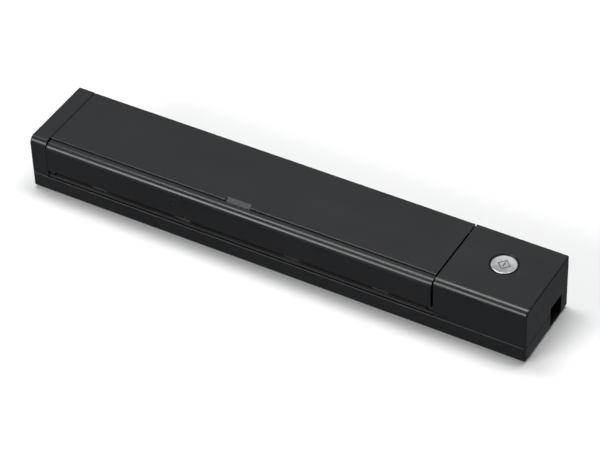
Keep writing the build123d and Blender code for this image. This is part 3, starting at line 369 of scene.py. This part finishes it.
def turned(mesh, outline, place, segments=64):
    """Spin an outline of (radius, height) points about an upright axis through a place."""
    rings = []
    for radius, height in outline:
        ring = []
        for step in range(segments):
            angle = 2 * math.pi * step / segments
            point = Vector((radius * math.cos(angle), radius * math.sin(angle), height))
            ring.append(mesh.verts.new(point + place))
        rings.append(ring)
    for first, second in zip(rings, rings[1:]):
        for step in range(segments):
            after = (step + 1) % segments
            mesh.faces.new((first[step], first[after], second[after], second[step]))
    mesh.faces.new(list(reversed(rings[0])))
    mesh.faces.new(rings[-1])


def make_piece(name, mesh, slot, body):
    """Turn mesh code into an object with its slot material that rides on a body."""
    bmesh.ops.recalc_face_normals(mesh, faces=mesh.faces)
    data = bpy.data.meshes.new(name)
    mesh.to_mesh(data)
    mesh.free()
    piece = bpy.data.objects.new(name, data)
    scene.collection.objects.link(piece)
    data.materials.append(MATERIALS[slot])
    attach(piece, body)
    return piece


def make_feet():
    """Four turned rubber feet with a rounded rim and two grip grooves in place of the plain ones."""
    mesh = bmesh.new()
    for low, high in loose_boxes(nodes["rubber_feet"]):
        radius = (high.x - low.x) / 2
        height = high.z - low.z
        rim = 0.4 * MM
        groove = 0.35 * MM
        outline = [(0.2 * MM, 0)]
        for share in (0.42, 0.74):
            middle = radius * share
            outline += [
                (middle - groove, 0),
                (middle - groove * 0.6, groove),
                (middle + groove * 0.6, groove),
                (middle + groove, 0),
            ]
        outline += [(radius - rim, 0), (radius - rim * 0.3, rim * 0.3), (radius, rim), (radius, height)]
        turned(mesh, outline, Vector(((low.x + high.x) / 2, (low.y + high.y) / 2, low.z)))
    feet = make_piece("grip_feet", mesh, "foot_rubber", "base")
    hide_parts("rubber_feet")


def make_tyres(name, source, body):
    """Ribbed tyres in place of plain ones: rounded shoulders and fine grooves across the tread."""
    mesh = bmesh.new()
    ribs = 36
    steps = ribs * 4
    for low, high in loose_boxes(nodes[source]):
        middle = (low + high) / 2
        radius = (high.y - low.y) / 2
        half = (high.x - low.x) / 2
        shoulder = 0.35 * MM
        groove = 0.18 * MM
        bore = radius * 0.45
        stations = [
            (bore, -half, 0),
            (radius - shoulder, -half, 0),
            (radius, -half + shoulder, 1),
            (radius, half - shoulder, 1),
            (radius - shoulder, half, 0),
            (bore, half, 0),
        ]
        rings = []
        for size, along, cut in stations:
            ring = []
            for step in range(steps):
                angle = 2 * math.pi * step / steps
                reach = size - (groove if cut and step % 4 >= 2 else 0)
                spoke = Vector((along, reach * math.cos(angle), reach * math.sin(angle)))
                ring.append(mesh.verts.new(middle + spoke))
            rings.append(ring)
        for first, second in zip(rings, rings[1:] + rings[:1]):
            for step in range(len(first)):
                after = (step + 1) % len(first)
                mesh.faces.new((first[step], first[after], second[after], second[step]))
    tyres = make_piece(name, mesh, "roller_rubber", body)
    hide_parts(source)


make_feet()
make_tyres("ribbed_feed_tyres", "feed_tyres", "feed_roller")
make_tyres("ribbed_eject_tyres", "eject_tyres", "eject_roller")


# ---------------------------------------------------------------- stage and lights
def make_floor():
    """A plain pale floor that can be seen through from below."""
    mesh = bpy.data.meshes.new("floor")
    half = 6.0
    corners = [(-half, -half, 0), (half, -half, 0), (half, half, 0), (-half, half, 0)]
    mesh.from_pydata(corners, [], [(0, 1, 2, 3)])
    floor = bpy.data.objects.new("floor", mesh)
    scene.collection.objects.link(floor)
    floor.location.z = cad_low.z
    floor.visible_glossy = False
    material, tree, shader = new_material("pale_floor")[:3]
    shader.inputs["Base Color"].default_value = (0.86, 0.86, 0.86, 1)
    shader.inputs["Roughness"].default_value = 0.7
    shader.inputs["Specular IOR Level"].default_value = 0.1
    see_through = tree.nodes.new("ShaderNodeBsdfTransparent")
    facing = tree.nodes.new("ShaderNodeNewGeometry")
    either = tree.nodes.new("ShaderNodeMixShader")
    tree.links.new(facing.outputs["Backfacing"], either.inputs["Fac"])
    tree.links.new(shader.outputs["BSDF"], either.inputs[1])
    tree.links.new(see_through.outputs["BSDF"], either.inputs[2])
    output = next(node for node in tree.nodes if node.type == "OUTPUT_MATERIAL")
    tree.links.new(either.outputs["Shader"], output.inputs["Surface"])
    mesh.materials.append(material)


def softbox(name, azimuth, elevation, distance, width, height, radiance):
    """A soft rectangular light that faces the object from this direction."""
    data = bpy.data.lights.new(name, "AREA")
    data.shape = "RECTANGLE"
    data.size = width
    data.size_y = height
    data.energy = radiance * math.pi * width * height
    light = bpy.data.objects.new(name, data)
    scene.collection.objects.link(light)
    a = math.radians(azimuth)
    e = math.radians(elevation)
    back = Vector((math.sin(a) * math.cos(e), -math.cos(a) * math.cos(e), math.sin(e)))
    light.matrix_world = Matrix.Translation(centre + back * distance) @ (
        (-back).to_track_quat("-Z", "Y").to_matrix().to_4x4()
    )


def make_lights():
    """Two long softboxes that streak the rounded front edge, a weak one behind, and a dim sky."""
    world = bpy.data.worlds.new("studio")
    world.use_nodes = True
    world.node_tree.nodes["Background"].inputs["Color"].default_value = (0.94, 0.97, 1.0, 1)
    world.node_tree.nodes["Background"].inputs["Strength"].default_value = 0.17
    scene.world = world
    softbox("overhead", 195, 80, 1.3, 1.3, 0.42, 10.5)
    softbox("back_left", 214, 42, 1.6, 0.9, 0.7, 0.42)
    softbox("front_left", -25, 27, 2.0, 1.1, 0.5, 13.0)


make_floor()
make_lights()
